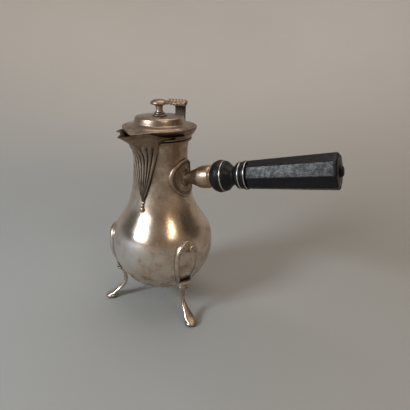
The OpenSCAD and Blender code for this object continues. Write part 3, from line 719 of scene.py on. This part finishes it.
def make_lid():
    """Drum, stepped flange and flat beak; the flange thins into the beak where it reaches out."""
    slope_r = (drum_r + lid_r) / 2 - 2
    top = [
        (1.6, lid_top_z), (12, lid_top_z - 0.05), (drum_r - 2.2, lid_top_z - 0.2),
        (drum_r - 1.2, lid_top_z - 0.5), (drum_r - 0.5, lid_top_z - 1.3), (drum_r, lid_top_z - 2.6),
        (drum_r + 0.4, rim_z + 8.4), (drum_r + 0.7, rim_z + 7), (drum_r + 1.5, rim_z + 6.2),
        (slope_r, rim_z + 5.8), (lid_r - 4.5, rim_z + 5.4), (lid_r - 3.8, rim_z + 5.2),
        (lid_r - 3.3, rim_z + 4.7), (lid_r - 2.9, rim_z + 4.3), (lid_r - 2.2, rim_z + 4.6),
        (lid_r - 1.2, rim_z + flange_h), (lid_r - 0.4, rim_z + 4.5), (lid_r, rim_z + 3.9),
        (lid_r - 0.1, rim_z + 3), (lid_r - 0.5, rim_z + 2), (lid_r - 0.9, rim_z + 0.9),
        (lid_r - 1.6, rim_z)
    ]
    inner = bezel_r + 0.02
    inside = [
        (inner + 0.9, rim_z), (inner, rim_z + 0.9), (inner, rim_z + 3.8), (inner - 1.4, rim_z + 4),
        (drum_r - 1.3, rim_z + 5.4), (drum_r - 1.5, lid_top_z - 2.6), (drum_r - 3, lid_top_z - 1.7),
        (12, lid_top_z - 1.5), (1.6, lid_top_z - 1.4)
    ]
    outline = rounded(top, 0.45, 4) + rounded(inside, 0.3, 2)
    around = 360
    points = []
    for r, z in outline:
        share = min(1, max(0, (r - lid_r + beak_blend_from) / beak_blend_w))
        for i in range(around):
            a = 2 * math.pi * i / around - math.pi
            plan = lid_plan(a)
            reach = (plan - lid_r) * share
            sink = min(1, (plan - lid_r) / beak_thin_over)
            flat = beak_floor_z + (beak_top_z - beak_floor_z) * (z - rim_z) / flange_h
            points.append(((r + reach) * math.sin(a), -(r + reach) * math.cos(a),
                           z + (flat - z) * sink * share))
    faces = grid_faces(len(outline), around, True)
    last = (len(outline) - 1) * around
    faces += [(last + i, last + (i + 1) % around, (i + 1) % around, i) for i in range(around)]
    return mesh_piece("lid_dome", points, faces)


def make_finial():
    """Mushroom finial with its ringed foot and the spigot below it."""
    h = finial_top_z - lid_top_z
    outline = [(1.5, -5.4), (1.5, 0), (6, 0), (6.3, 0.7), (5.3, 1.3), (4.3, 1.6), (4.7, 2.3),
               (4.2, 3), (3.2, 3.5), (2.9, 4.8), (2.9, h - 6.8), (3.4, h - 5.6), (4.6, h - 4.9),
               (7.3, h - 4.3), (7.8, h - 3.5), (7.6, h - 2.6), (6.6, h - 1.4), (4.6, h - 0.5),
               (2.4, h - 0.1), (on_axis, h)]
    return turned("lid_finial", rounded([(r, lid_top_z + z) for r, z in outline], 0.6, 4), 96)


# Thumbpiece: a ribbed shell whose crest curls towards the finial

leaf_out, leaf_t, solder = 1.8, 1.3, 0.02
thumb_h, thumb_w, ribs, thumb_half_t = 18.2, 20.0, 6, 0.8
rib_h, crest_reach, crest_rows = 0.55, 0.5, 26


def make_thumbpiece():
    """An upright blade soldered to the hinge's leaf, with a scalloped crest."""
    foot_y = lid_r + leaf_out
    foot_z = rim_z + flange_h + leaf_t + 2 * solder
    # Distance behind the foot, height, half width and how ribbed it is there
    control = [
        (0, 0, 5.4, 0), (0.7, thumb_h * 0.2, 5.3, 0), (1.1, thumb_h * 0.42, 5.3, 0),
        (1.1, thumb_h * 0.6, 5.6, 0.1), (0.5, thumb_h * 0.74, thumb_w * 0.37, 0.5),
        (-1.4, thumb_h * 0.86, thumb_w * 0.46, 0.9), (-4.2, thumb_h * 0.915, thumb_w * 0.49, 1),
        (-6.9, thumb_h * 0.88, thumb_w * 0.49, 1), (-8.4, thumb_h * 0.78, thumb_w * 0.47, 1),
        (-8.3, thumb_h * 0.72, thumb_w * 0.45, 0.9)
    ]
    path = spline(control, 14)
    grids = []
    for side in (-1, 1):
        grid = []
        for i, (back, up, half_w, ribbed) in enumerate(path):
            a, b = path[max(i - 1, 0)], path[min(i + 1, len(path) - 1)]
            run = math.hypot(b[0] - a[0], b[1] - a[1])
            ny, nz = (b[1] - a[1]) / run, -(b[0] - a[0]) / run
            row = []
            for u in evenly(-1, 1, ribs * 16 + 1):
                rib = rib_h * ribbed * math.cos(math.pi * ribs * (u + 1) + math.pi)
                scallop = abs(math.cos(0.5 * math.pi * (ribs * (u + 1) + 1)))
                reach = crest_reach * ribbed * (scallop - 1.6 * u * u)
                off = side * thumb_half_t + rib
                push = reach * max(0, i - len(path) + crest_rows) / crest_rows
                row.append((u * half_w, foot_y + back + off * ny - push * nz,
                            foot_z + up + off * nz * (0 if i == 0 else 1) + push * ny))
            grid.append(row)
        grids.append(grid)
    return two_sided("lid_thumbpiece", *grids)


# Materials

class Val:
    """A socket that takes part in sums: an expression adds its Math nodes."""

    def __init__(self, finish, socket):
        self.finish = finish
        self.socket = socket

    def _math(self, operation, a, b):
        return self.finish.add("ShaderNodeMath", {"operation": operation}, a, b)

    def __add__(self, other):
        return self._math("ADD", self, other)

    __radd__ = __add__

    def __mul__(self, other):
        return self._math("MULTIPLY", self, other)

    __rmul__ = __mul__

    def __sub__(self, other):
        return self._math("SUBTRACT", self, other)

    def __rsub__(self, other):
        return self._math("SUBTRACT", other, self)

    def most(self, other):
        return self._math("MAXIMUM", self, other)

    def above(self, start, end):
        """0 below start, 1 above end, with an eased rise between them."""
        return self.finish.add(
            "ShaderNodeMapRange", {"interpolation_type": "SMOOTHSTEP"},
            Value=self, **{"From Min": start, "From Max": end})


class Finish:
    """Node tree of one finish, drawn in the pot's own coordinates, or by direction for the room."""

    def __init__(self, owner, coordinates="Object"):
        self.owner = owner
        owner.use_nodes = True
        self.tree = owner.node_tree
        self.tree.nodes.clear()
        self.place = self.add("ShaderNodeTexCoord", out=coordinates)

    def add(self, kind, settings=None, *values, out=0, **named):
        """Adds a node: its settings first, then the values or links of its sockets."""
        node = self.tree.nodes.new(kind)
        for key, value in (settings or {}).items():
            setattr(node, key, value)
        for key, value in list(enumerate(values)) + list(named.items()):
            target = node.inputs[key]
            if isinstance(value, Val):
                self.tree.links.new(value.socket, target)
            else:
                target.default_value = value
        return Val(self, node.outputs[out])

    def noise(self, scale, detail, rough, distort=0.0, stretch=None):
        """Cloudy noise: scale counts per metre, stretch scales the axes."""
        place = self.place
        if stretch:
            place = self.add("ShaderNodeMapping", None, place, Scale=stretch)
        return self.add("ShaderNodeTexNoise", None, Vector=place, Scale=scale, Detail=detail,
                        Roughness=rough, Distortion=distort)

    def blend(self, share, a, b):
        """Mixes two colours."""
        node = self.tree.nodes.new("ShaderNodeMix")
        node.data_type = "RGBA"
        sockets = {s.identifier: s for s in node.inputs}
        for key, value in (("Factor_Float", share), ("A_Color", a), ("B_Color", b)):
            if isinstance(value, Val):
                self.tree.links.new(value.socket, sockets[key])
            elif key == "Factor_Float":
                sockets[key].default_value = value
            else:
                sockets[key].default_value = (*value, 1)
        out = next(s for s in node.outputs if s.identifier == "Result_Color")
        return Val(self, out)

    def bump(self, height, depth, strength):
        """Fine relief of this depth in metres."""
        return self.add("ShaderNodeBump", None, Strength=strength, Distance=depth, Height=height,
                        out="Normal")

    def split(self, vector):
        """The three coordinates of a vector."""
        node = self.tree.nodes.new("ShaderNodeSeparateXYZ")
        self.tree.links.new(vector.socket, node.inputs[0])
        return [Val(self, node.outputs[i]) for i in range(3)]

    def hollow(self, distance):
        """1 in a hollow or corner narrower than the distance, 0 in the open."""
        return 1 - self.add("ShaderNodeAmbientOcclusion", {"samples": 6}, Distance=distance,
                            out="AO")

    def surface(self, **sockets):
        """Ends the finish in a surface shader with these sockets."""
        node = self.tree.nodes.new("ShaderNodeBsdfPrincipled")
        for key, value in sockets.items():
            target = node.inputs[key.replace("_", " ")]
            if isinstance(value, Val):
                self.tree.links.new(value.socket, target)
            else:
                target.default_value = (*value, 1) if isinstance(value, tuple) else value
        out = self.tree.nodes.new("ShaderNodeOutputMaterial")
        self.tree.links.new(node.outputs[0], out.inputs["Surface"])
        return self.owner


def new_finish(name):
    return Finish(bpy.data.materials.new(name))


clean_silver = (0.78, 0.74, 0.70)
warm_silver = (0.66, 0.53, 0.41)
brown_tarnish = (0.24, 0.155, 0.095)
black_tarnish = (0.022, 0.017, 0.014)


# Width of the rise of the black in the hollows, which is partly tarnish and partly painted shade.
hollow_tarnish_and_shade_span = 0.42


def tarnished_silver(name, warmth, hollow_mm, wear=1.0, dark=0.0, hollow_tarnish_and_shade_from=0.20):
    """Old silver: bright where hands rub it, brown in clouds and black in the hollows, where black
    tarnish and painted shade from an occlusion mask lie together.

    Heights in it are in metres: low on the bowl, up the neck and on the handle's side the colour is
    browner and darker.
    Wear scales the marks, dark adds an even veil of black.
    """
    f = new_finish(name)
    cloud = f.noise(34, 5, 0.6, 0.8)
    veil = f.noise(95, 6, 0.62, 0.3)
    blotch = f.noise(190, 5, 0.7, 1.2)
    speck = f.noise(900, 3, 0.6)
    fine = f.noise(2600, 2, 0.5)
    x, y, z = f.split(f.place)
    low_down = 1 - z.above(0.030, 0.066)
    up_the_neck = z.above(0.108, 0.135)
    handle_side = x.above(-0.012, 0.030)
    # Browner and darker low on the bowl, up the neck and on the handle's side.
    darker_by_place = low_down * 0.05 + up_the_neck * 0.17 + handle_side * 0.09
    warm = (cloud * 0.65 + veil * 0.35 + warmth + darker_by_place).above(0.38, 0.64)
    brown = (cloud * 0.4 + veil * 0.6 + warmth * 0.7 + darker_by_place * 0.9).above(0.54, 0.80)
    spots = (speck * 0.35 + blotch * 0.65 + low_down * 0.05 + up_the_neck * 0.04).above(0.56, 0.68)
    # Black in hollows and corners from an occlusion mask: partly black tarnish, partly painted
    # shade where recesses and the undersides of parts lie in shadow.
    hollow_tarnish_and_shade = f.hollow(hollow_mm * MM) * (0.85 + cloud * 0.6)
    hollow_tarnish_and_shade = hollow_tarnish_and_shade.above(hollow_tarnish_and_shade_from, hollow_tarnish_and_shade_from + hollow_tarnish_and_shade_span)
    colour = f.blend(warm * 0.88, clean_silver, warm_silver)
    colour = f.blend(brown * 0.72, colour, brown_tarnish)
    colour = f.blend(spots * 0.5 * wear, colour, brown_tarnish)
    colour = f.blend(hollow_tarnish_and_shade * 0.95, colour, black_tarnish)
    # With dark near 1, as in the inside finish, this veil of black is painted shade.
    if dark:
        colour = f.blend(dark * (0.8 + veil * 0.35), colour, black_tarnish)
    scratch = f.noise(420, 3, 0.7, 0.0, (1, 1, 0.08)).above(0.62, 0.72)
    rough = 0.14 + 0.2 * dark + warm * 0.07 + brown * 0.12 + hollow_tarnish_and_shade * 0.3 + spots * 0.1 + fine * 0.05
    rough = rough + scratch * 0.06
    height = veil * 0.4 + blotch * 0.25 + speck * 0.12 + scratch * 0.06
    return f.surface(Base_Color=colour, Metallic=1.0 - hollow_tarnish_and_shade * 0.4, Roughness=rough,
                     Normal=f.bump(height, 0.00014 * wear, 0.6))


def inlay_silver():
    """Thin drawn wire: pale, with a little yellow tarnish."""
    f = new_finish("inlay_silver")
    cloud = f.noise(300, 4, 0.6)
    colour = f.blend(cloud.above(0.4, 0.7), (0.80, 0.76, 0.69), (0.55, 0.47, 0.36))
    return f.surface(Base_Color=colour, Metallic=1.0, Roughness=0.24 + cloud * 0.15,
                     Normal=f.bump(cloud, 0.0001, 0.4))


def ebonised_wood():
    """Black stained hardwood: close grain along the handle, wax with dull and rubbed places."""
    f = new_finish("ebonised_wood")
    along = f.add("ShaderNodeMapping", None, f.place, Rotation=(0, handle_rise, 0),
                  Scale=(0.045, 1, 1))
    grain = f.add("ShaderNodeTexNoise", None, Vector=along, Scale=1500, Detail=4, Roughness=0.6)
    pores = f.add("ShaderNodeTexNoise", None, Vector=along, Scale=3800, Detail=2, Roughness=0.5)
    cloud = f.noise(60, 4, 0.6)
    handling = f.noise(240, 4, 0.65)
    streak = grain.above(0.42, 0.68)
    colour = f.blend(streak, (0.0035, 0.0034, 0.004), (0.011, 0.011, 0.013))
    colour = f.blend(handling.above(0.58, 0.75) * 0.5, colour, (0.03, 0.028, 0.028))
    rough = 0.22 + cloud * 0.22 + streak * 0.12 + handling.above(0.42, 0.66) * 0.26
    height = grain * 0.6 + pores.above(0.6, 0.7) * -0.5 + handling * 0.2
    return f.surface(Base_Color=colour, Roughness=rough, Normal=f.bump(height, 0.00008, 0.6),
                     Specular_IOR_Level=0.24, Coat_Weight=0.02 + cloud * 0.06, Coat_Roughness=0.2)


def backdrop_paint():
    """Matt paint: pale floor, a far side painted paler as painted light, a painted cool light at
    the left and warm light at the right, dim walls.
    """
    f = new_finish("backdrop_paint")
    x, y, z = f.split(f.place)
    across = x * math.cos(camera_turn) + y * math.sin(camera_turn)
    away = y * math.cos(camera_turn) - x * math.sin(camera_turn)
    # Painted light: the far side of the floor is painted paler, as if lit more brightly.
    far_side_painted_light = away.above(0.12, 1.25)
    wall_height = z.above(0.08, 0.45) * (1 - away.above(0.35, 0.8))
    cloud = f.noise(2.2, 3, 0.5)
    # Painted light: cool at the left and beige at the right, the tints of a cool light at one side
    # and a warm light at the other.
    colour = f.blend(across.above(-0.35, 0.9), (0.315, 0.335, 0.345), (0.36, 0.325, 0.28))
    colour = f.blend(far_side_painted_light, colour, (0.60, 0.58, 0.555))
    walls = f.blend((x * -1).above(0.2, 0.9), (0.46, 0.36, 0.28), (0.12, 0.115, 0.115))
    walls = f.blend(x.above(0.7, 1.1) * y.above(0.1, 0.5), walls, (0.09, 0.075, 0.06))
    colour = f.blend(wall_height * 0.9, colour, walls)
    colour = f.blend(cloud.above(0.3, 0.75) * 0.06, colour, (0.2, 0.19, 0.18))
    return f.surface(Base_Color=colour, Roughness=0.8)


finishes = {
    "body": tarnished_silver("silver_body", 0.03, 3.0),
    "mounts": tarnished_silver("silver_mounts", 0.06, 3.2),
    "lid": tarnished_silver("silver_lid", 0.0, 3.6, 0.7, 0.28, 0.12),
    "cast": tarnished_silver("silver_cast", 0.04, 4.4, 1.0, 0.08, 0.08),
    "plate": tarnished_silver("silver_plate", 0.08, 5.5, 0.5, 0.22, 0.06),
    "spout": tarnished_silver("silver_spout", 0.04, 5.0, 0.4, 0.22, 0.04),
    "thumb": tarnished_silver("silver_thumb", 0.02, 5.0, 0.2, 0.2, 0.12),
    # The inside finish is near-black: painted shade for the dim inside of the pot, the spout and
    # the thumbpiece's blade.
    "inside": tarnished_silver("silver_inside_painted_shade", 0.2, 6.0, 1.0, 0.88),
    "inlay": inlay_silver(),
    "wood": ebonised_wood(),
}


def dress(piece, body, nodes, finish):
    """Gives a piece its finish and puts it in the place of its solids."""
    piece.data.materials.clear()
    piece.data.materials.append(finishes[finish])
    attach(piece, body)
    for node in nodes:
        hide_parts(node)


# Above this height the spout's inner skin gets the painted shade of the inside.
lip_inside_z = 160
body = make_body()
dress(body, "pot", ["body"], "body")
paint_inside_shade(body, base_z + 1)
dress(make_rim(), "pot", ["rim_moulding"], "mounts")
dress(make_neck_bead(), "pot", ["neck_bead"], "mounts")
spout = make_spout()
dress(spout, "pot", ["spout"], "spout")
paint_inside_shade(spout, lip_inside_z)
dress(make_pendant(), "pot", ["spout_pendant"], "mounts")
for side, angle in (("left", 210), ("right", 330), ("rear", 90)):
    dress(make_shield(side, angle), "pot", [f"shield_{side}"], "cast")
    dress(make_leg(side, angle), "pot", [f"leg_{side}"], "cast")
dress(make_escutcheon(), "pot", ["handle_escutcheon"], "plate")
dress(make_socket(), "pot", ["handle_socket"], "mounts")
dress(make_grip(), "pot", ["handle_grip"], "wood")
inlay_names = ["inlay_bulb", "inlay_collar_inner", "inlay_collar_outer"]
for name, place, radius in zip(inlay_names, inlay_places, inlay_radii):
    dress(make_inlay("wire_" + name, place, radius), "pot", [name], "inlay")
dress(make_lid(), "lid", ["lid"], "lid")
dress(make_finial(), "lid", ["finial"], "lid")
thumbpiece = make_thumbpiece()
dress(thumbpiece, "lid", ["thumbpiece"], "thumb")
# Painted shade: the blade below the crest takes the near-black inside finish for the shadow on its
# concave side.
thumbpiece.data.materials.append(finishes["inside"])
crest_bottom_z = 190.8
for polygon in thumbpiece.data.polygons:
    if polygon.center.z < crest_bottom_z * MM:
        polygon.material_index = 1

# Small fittings keep the meshes of their solids
plain_finish = {"handle_pin": "inlay", "hinge_pin": "inlay", "hinge_bracket": "mounts",
                "lid_bezel": "lid", "finial_nut": "inlay", "hinge_lid_leaf": "lid"}
for node, finish in plain_finish.items():
    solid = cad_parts[node]
    solid.data.materials.clear()
    solid.data.materials.append(finishes[finish])


# Stage: a round floor that rises on all sides in one wide curve

def make_dish():
    flat_r, bend_r, wall_h = 0.4, 1.3, 0.25
    line = [(0.001, 0.0), (0.5 * flat_r, 0.0)]
    line += [(flat_r + bend_r * math.sin(a), bend_r - bend_r * math.cos(a))
             for a in evenly(0, 0.5 * math.pi, 48)]
    line.append((flat_r + bend_r, bend_r + wall_h))
    dish = turned("dish", [(r / MM, z / MM) for r, z in line], 120)
    dish.data.materials.append(backdrop_paint())


make_dish()

# Lights, aimed at the pot's middle

middle_z = 0.1
pot_middle = Vector((0, 0, middle_z))


def soft_light(name, place, size, power, colour):
    lamp = bpy.data.lights.new(name, "AREA")
    lamp.shape = "RECTANGLE"
    lamp.size, lamp.size_y = size
    lamp.energy = power
    lamp.color = colour
    holder = bpy.data.objects.new(name, lamp)
    holder.location = place
    holder.rotation_euler = (pot_middle - Vector(place)).to_track_quat("-Z", "Y").to_euler()
    bpy.context.scene.collection.objects.link(holder)


def toward(bearing, height, distance):
    """A place at a bearing from the spout and a height, both in degrees, seen from the pot."""
    b, h = math.radians(bearing), math.radians(height)
    return (distance * math.cos(h) * math.sin(b), -distance * math.cos(h) * math.cos(b),
            middle_z + distance * math.sin(h))


soft_light("window", toward(-26, 30, 1.3), (0.36, 0.34), 12, (0.90, 0.96, 1.0))
soft_light("room_lamp", toward(60, 39, 1.3), (0.22, 0.2), 1.5, (1.0, 0.85, 0.62))
soft_light("overhead", (0.1, 0.35, 1.8), (1.4, 1.4), 12, (1.0, 0.93, 0.86))


def make_room():
    """The dim room that the silver mirrors: brown to the right, grey and then dark to the left."""
    world = bpy.data.worlds.new("room")
    f = Finish(world, "Generated")
    x, y, z = f.split(f.place)
    left = (x * -1).above(0.1, 0.7)
    colour = f.blend(left, (0.25, 0.195, 0.155), (0.18, 0.19, 0.21))
    lit_right = x.above(0.3, 0.75) * (1 - y.above(0.15, 0.4))
    colour = f.blend(lit_right, colour, (0.36, 0.28, 0.20))
    dark_left = (x * -1).above(0.55, 0.88) * (1 - z.above(0.25, 0.6))
    dark_right = x.above(0.5, 0.65) * y.above(0.22, 0.4) * (1 - z.above(0.55, 0.75))
    colour = f.blend(dark_left.most(dark_right) * 0.85, colour, (0.03, 0.026, 0.024))
    shade = f.add("ShaderNodeBackground", None, colour, 1.0)
    out = f.tree.nodes.new("ShaderNodeOutputWorld")
    f.tree.links.new(shade.socket, out.inputs["Surface"])
    bpy.context.scene.world = world


make_room()


# Camera at the photograph's viewing angle

photo_px = 410
lens_px = 375.0
pitch = math.radians(21.56)
roll = math.radians(0.99)
sensor_mm = 36
camera = bpy.data.cameras.new("camera")
camera.sensor_width = sensor_mm
camera.lens = sensor_mm * lens_px / photo_px
camera.clip_start = 0.01
eye = bpy.data.objects.new("camera", camera)
turn_matrix = Matrix.Rotation(camera_turn, 4, "Z")
spot = turn_matrix @ Vector((0.0410, -0.3326, 0.2342))
eye.matrix_world = (Matrix.Translation(spot) @ turn_matrix
                    @ Matrix.Rotation(0.5 * math.pi - pitch, 4, "X")
                    @ Matrix.Rotation(roll, 4, "Z"))
bpy.context.scene.collection.objects.link(eye)
bpy.context.scene.camera = eye
bpy.context.scene.view_settings.view_transform = "Standard"
